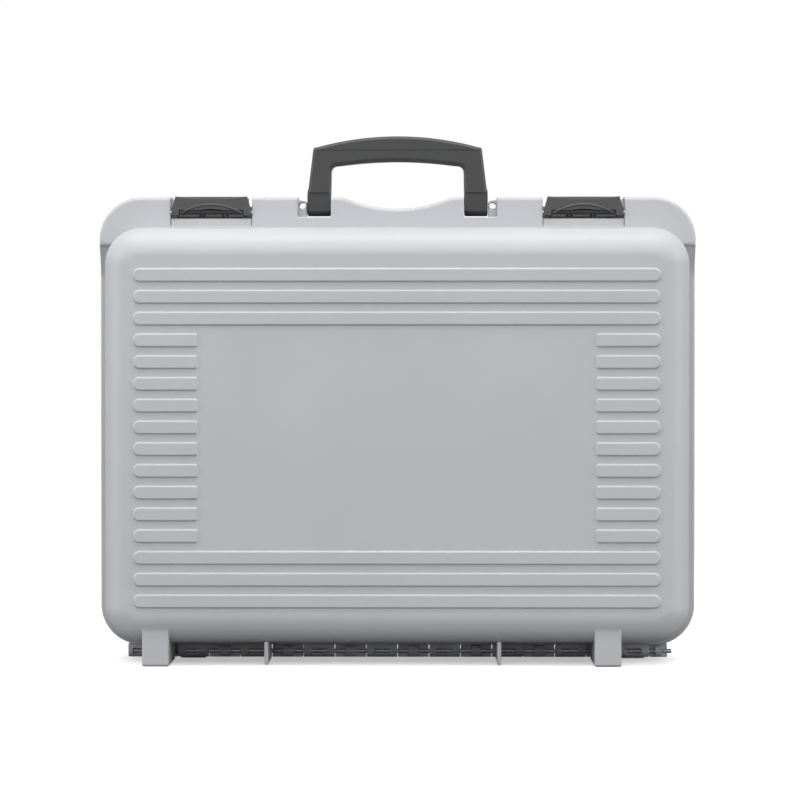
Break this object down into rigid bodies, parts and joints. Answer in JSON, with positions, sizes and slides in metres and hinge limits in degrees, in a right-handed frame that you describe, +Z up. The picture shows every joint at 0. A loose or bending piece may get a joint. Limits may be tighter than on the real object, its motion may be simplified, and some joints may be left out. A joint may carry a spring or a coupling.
{
  "type": "drone carrying case",
  "caption": "Hard moulded carrying case with ribbed half shells, wire hinge, swinging top handle, snap latches and a cut foam lining.",
  "frame": {"origin": "centre of the footprint, on the plane that the four feet stand on", "axes": "+Z up with the case standing on its feet, -Y towards the lid, +X to the right seen from the lid side"},
  "size_m": [0.5, 0.15, 0.4407],
  "materials": {
    "shell_plastic": "fine-textured moulded polypropylene, light grey",
    "dark_plastic": "satin moulded polypropylene, charcoal",
    "latch_plastic": "satin moulded nylon, charcoal",
    "steel": "drawn steel wire, bright",
    "foam": "open-cell polyurethane foam, charcoal"
  },
  "bodies": {
    "base": {"rear_shell": "shell_plastic", "hinge_pin": "steel", "handle_pin_left": "steel", "handle_pin_right": "steel", "foam_base_pad": "foam", "foam_tray": "foam", "foam_divider_left": "foam", "foam_divider_right": "foam", "foam_accessory_cover": "foam"},
    "lid": {"front_shell": "shell_plastic", "latch_pin_left": "steel", "latch_pin_right": "steel", "foam_lid_sheet": "foam"},
    "handle": {"handle": "dark_plastic"},
    "latch_left": {"latch_left": "latch_plastic"},
    "latch_right": {"latch_right": "latch_plastic"}
  },
  "joints": [
    {"name": "lid_hinge", "type": "hinge", "parent": "base", "child": "lid", "pos_m": [0, 0, 0.0069], "axis": [1, 0, 0], "range_deg": [0, 180]},
    {"name": "handle_swing", "type": "hinge", "parent": "base", "child": "handle", "pos_m": [0, 0, 0.3854], "axis": [1, 0, 0], "range_deg": [-90, 90]},
    {"name": "latch_left_flip", "type": "hinge", "parent": "lid", "child": "latch_left", "pos_m": [-0.1557, -0.02, 0.376], "axis": [1, 0, 0], "range_deg": [0, 115]},
    {"name": "latch_right_flip", "type": "hinge", "parent": "lid", "child": "latch_right", "pos_m": [0.1557, -0.02, 0.376], "axis": [1, 0, 0], "range_deg": [0, 115]}
  ]
}
